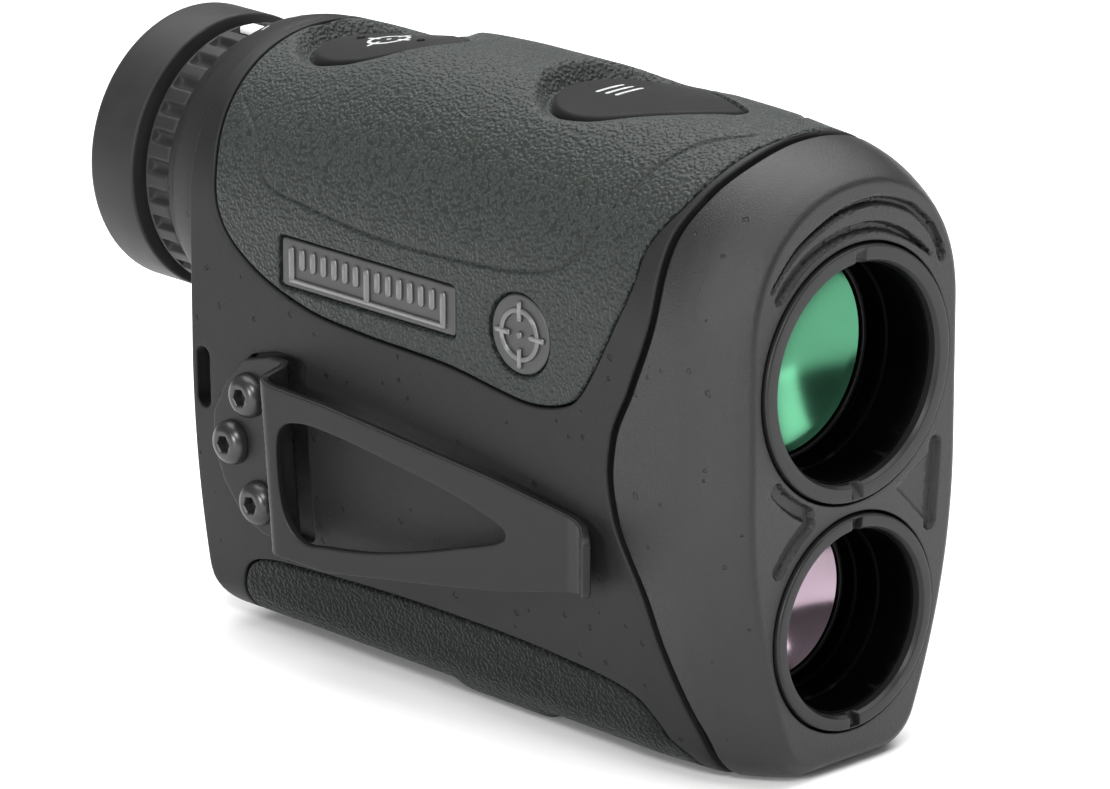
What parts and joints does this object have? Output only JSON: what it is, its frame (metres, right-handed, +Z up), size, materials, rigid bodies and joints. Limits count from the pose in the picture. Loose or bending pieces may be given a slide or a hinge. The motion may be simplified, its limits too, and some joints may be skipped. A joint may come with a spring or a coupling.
{
  "type": "laser rangefinder",
  "caption": "Upright handheld laser rangefinder: viewing lens stacked over laser lens, rubber grip, top buttons, twist-up eyecup, side belt clip.",
  "frame": {"origin": "middle of the footprint's bounding box, on the plane of the underside", "axes": "+X out of the lenses along the line of sight, +Y away from the belt clip, +Z up through the buttons"},
  "size_m": [0.1148, 0.0464, 0.076],
  "materials": {
    "housing_polymer": "fine speckled charcoal armour finish",
    "nose_polymer": "satin speckled charcoal coating",
    "grip_rubber": "leather-grained dark green-grey rubber",
    "eyecup_rubber": "smooth dark grey rubber",
    "button_rubber": "matte charcoal rubber",
    "seal_rubber": "black rubber",
    "bezel_metal": "satin black anodised",
    "barrel_black": "flat black inside",
    "clip_steel": "satin charcoal coated spring steel",
    "screw_steel": "blackened steel",
    "plate_metal": "dark plate with bright raised marks",
    "index_white": "white filled mark",
    "green_coated_glass": "green multi-coated glass",
    "pink_coated_glass": "pink multi-coated glass",
    "optical_glass": "clear optical glass",
    "frame_alloy": "cast alloy",
    "circuit_board": "green solder mask",
    "component_metal": "plated metal can",
    "battery_wrap": "wrapped steel cell",
    "insert_brass": "plain brass",
    "spring_steel": "nickel plated spring wire"
  },
  "bodies": {
    "root": {"main_housing": "housing_polymer", "nose_cover": "nose_polymer", "nose_seal": "seal_rubber", "upper_grip": "grip_rubber", "lower_grip": "grip_rubber", "side_plate": "plate_metal", "side_emblem": "plate_metal", "tripod_insert": "insert_brass", "optics_frame": "frame_alloy", "frame_screw_1": "screw_steel", "frame_screw_2": "screw_steel", "upper_bezel": "bezel_metal", "upper_barrel": "barrel_black", "objective_front_lens": "green_coated_glass", "objective_spacer": "barrel_black", "objective_rear_lens": "optical_glass", "prism_holder": "frame_alloy", "beam_splitter": "optical_glass", "roof_prism": "optical_glass", "display_panel": "optical_glass", "lower_bezel": "bezel_metal", "lower_barrel": "barrel_black", "lower_lens": "pink_coated_glass", "sensor_board": "circuit_board", "light_sensor": "component_metal", "laser_diode": "component_metal", "eyepiece_collar": "housing_polymer", "eyepiece_tube": "barrel_black", "field_lens": "optical_glass", "measure_switch": "component_metal", "menu_switch": "component_metal", "button_board": "circuit_board", "main_board": "circuit_board", "flex_cable": "insert_brass", "battery_tube": "barrel_black", "battery": "battery_wrap", "battery_spring": "spring_steel", "contact_plate": "insert_brass", "belt_clip": "clip_steel", "clip_screw_1": "screw_steel", "clip_screw_2": "screw_steel", "clip_screw_3": "screw_steel"},
    "measure_button": {"measure_button": "button_rubber"},
    "menu_button": {"menu_button": "button_rubber"},
    "diopter": {"diopter_ring": "eyecup_rubber", "diopter_index": "index_white"},
    "focus_cell": {"eyepiece_cell": "barrel_black", "eye_lens": "optical_glass", "eye_lens_retainer": "barrel_black"},
    "eyecup_guide": {"eyecup_guide": "barrel_black"},
    "eyecup": {"eyecup": "eyecup_rubber"},
    "cap_seal": {"cap_seal": "seal_rubber"},
    "battery_cap": {"battery_cap": "housing_polymer", "tab_pin": "screw_steel"},
    "cap_tab": {"cap_tab": "housing_polymer"}
  },
  "joints": [
    {"name": "measure_press", "type": "slide", "parent": "root", "child": "measure_button", "axis": [0, 0, -1], "range_m": [0, 0.0006], "stiffness_N_per_m": 1500, "springref_m": -0.0003},
    {"name": "menu_press", "type": "slide", "parent": "root", "child": "menu_button", "axis": [0, 0, -1], "range_m": [0, 0.0006], "stiffness_N_per_m": 1500, "springref_m": -0.0003},
    {"name": "diopter_turn", "type": "hinge", "parent": "root", "child": "diopter", "pos_m": [-0.0451, 0.00275, 0.05345], "axis": [1, 0, 0], "range_deg": [-40, 40]},
    {"name": "focus_travel", "type": "slide", "parent": "root", "child": "focus_cell", "axis": [1, 0, 0], "range_m": [-0.0008, 0.0008]},
    {"name": "eyecup_extend", "type": "slide", "parent": "root", "child": "eyecup_guide", "axis": [-1, 0, 0], "range_m": [0, 0.005]},
    {"name": "eyecup_twist", "type": "hinge", "parent": "eyecup_guide", "child": "eyecup", "pos_m": [-0.0531, 0.00275, 0.05345], "axis": [-1, 0, 0], "range_deg": [0, 114]},
    {"name": "cap_pull", "type": "slide", "parent": "root", "child": "cap_seal", "axis": [-1, 0, 0], "range_m": [0, 0.008]},
    {"name": "cap_turn", "type": "hinge", "parent": "cap_seal", "child": "battery_cap", "pos_m": [-0.0314, 0.00275, 0.01885], "axis": [-1, 0, 0], "range_deg": [0, 90]},
    {"name": "tab_fold", "type": "hinge", "parent": "battery_cap", "child": "cap_tab", "pos_m": [-0.0341, 0.00275, 0.01285], "axis": [0, -1, 0], "range_deg": [0, 95]}
  ],
  "couplings": [
    {"joint": "diopter_turn", "follows": "focus_travel", "rad_per_m": 872},
    {"joint": "eyecup_twist", "follows": "eyecup_extend", "rad_per_m": 397}
  ]
}
